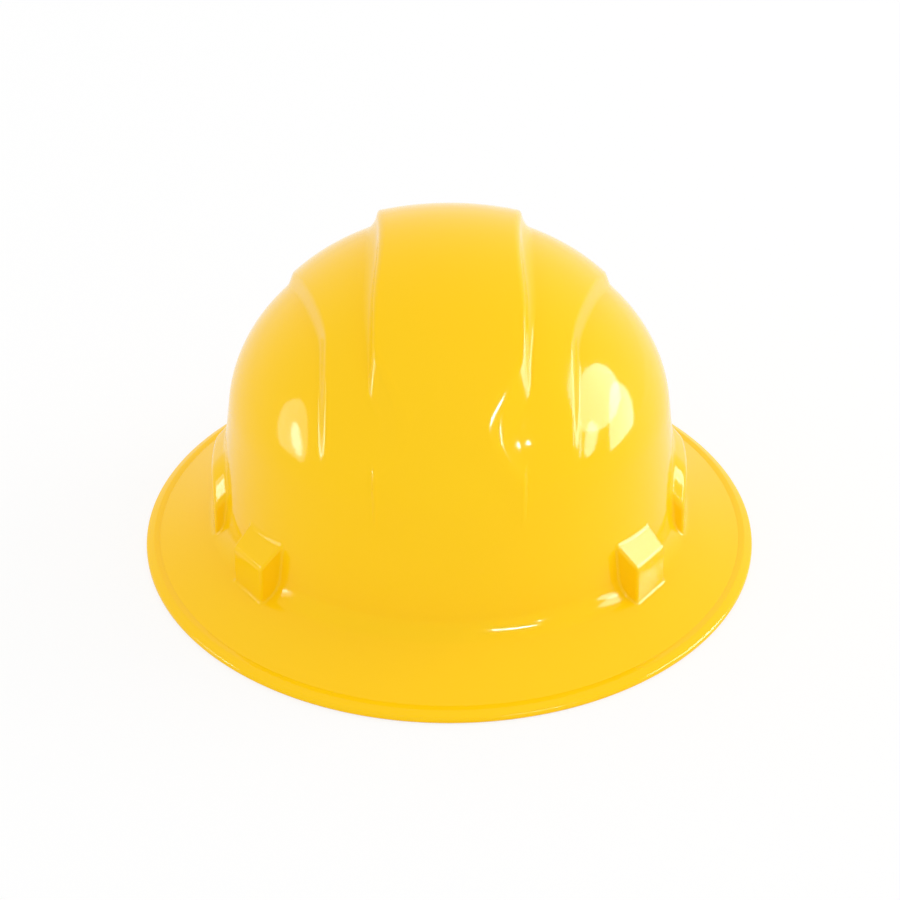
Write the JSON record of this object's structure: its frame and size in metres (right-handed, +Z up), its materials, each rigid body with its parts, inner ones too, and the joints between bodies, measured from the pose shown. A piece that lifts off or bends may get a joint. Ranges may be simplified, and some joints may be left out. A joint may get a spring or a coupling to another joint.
{
  "type": "full brim hard hat",
  "caption": "Full brim hard hat: ridged dome on an oval sloping brim, four-key webbing suspension, padded headband with a ratchet knob at the nape.",
  "frame": {"origin": "middle of the plane that the rim rests on", "axes": "+Z up through the crown, -Y towards the wearer's front, +X to the wearer's left"},
  "size_m": [0.28, 0.314, 0.1556],
  "materials": {
    "shell_plastic": "glossy moulded yellow",
    "key_plastic": "fine moulded grain",
    "band_plastic": "satin moulded strip",
    "ratchet_plastic": "fine moulded grain",
    "knob_plastic": "soft grip",
    "gear_plastic": "natural acetal",
    "screw_steel": "zinc plated",
    "webbing": "woven polyester",
    "pad_cloth": "brushed terry over foam"
  },
  "bodies": {
    "root": {"shell": "shell_plastic", "key_front_left": "key_plastic", "key_front_right": "key_plastic", "key_rear_left": "key_plastic", "key_rear_right": "key_plastic", "crown_strap_lower": "webbing", "crown_strap_upper": "webbing", "headband": "band_plastic", "brow_pad": "pad_cloth", "temple_stud_left": "key_plastic", "temple_stud_right": "key_plastic", "ratchet_housing": "ratchet_plastic", "ratchet_cover": "ratchet_plastic", "nape_pad": "pad_cloth", "detent_spring": "gear_plastic"},
    "knob": {"pinion": "gear_plastic", "knob": "knob_plastic", "knob_screw": "screw_steel"},
    "left_arm": {"left_arm": "band_plastic"},
    "right_arm": {"right_arm": "band_plastic"}
  },
  "joints": [
    {"name": "knob_turn", "type": "hinge", "parent": "root", "child": "knob", "pos_m": [0, 0.098, 0.02], "axis": [0, 1, 0], "range_deg": [-229.18, 401.07]},
    {"name": "left_arm_turn", "type": "hinge", "parent": "root", "child": "left_arm", "pos_m": [0, 0.008, 0.02], "axis": [0, 0, 1], "range_deg": [-24.21, 13.83]},
    {"name": "right_arm_turn", "type": "hinge", "parent": "root", "child": "right_arm", "pos_m": [0, 0.008, 0.02], "axis": [0, 0, 1], "range_deg": [-13.5, 23.62]}
  ],
  "couplings": [
    {"joint": "left_arm_turn", "follows": "knob_turn", "ratio": -0.06035},
    {"joint": "right_arm_turn", "follows": "knob_turn", "ratio": 0.058893}
  ]
}
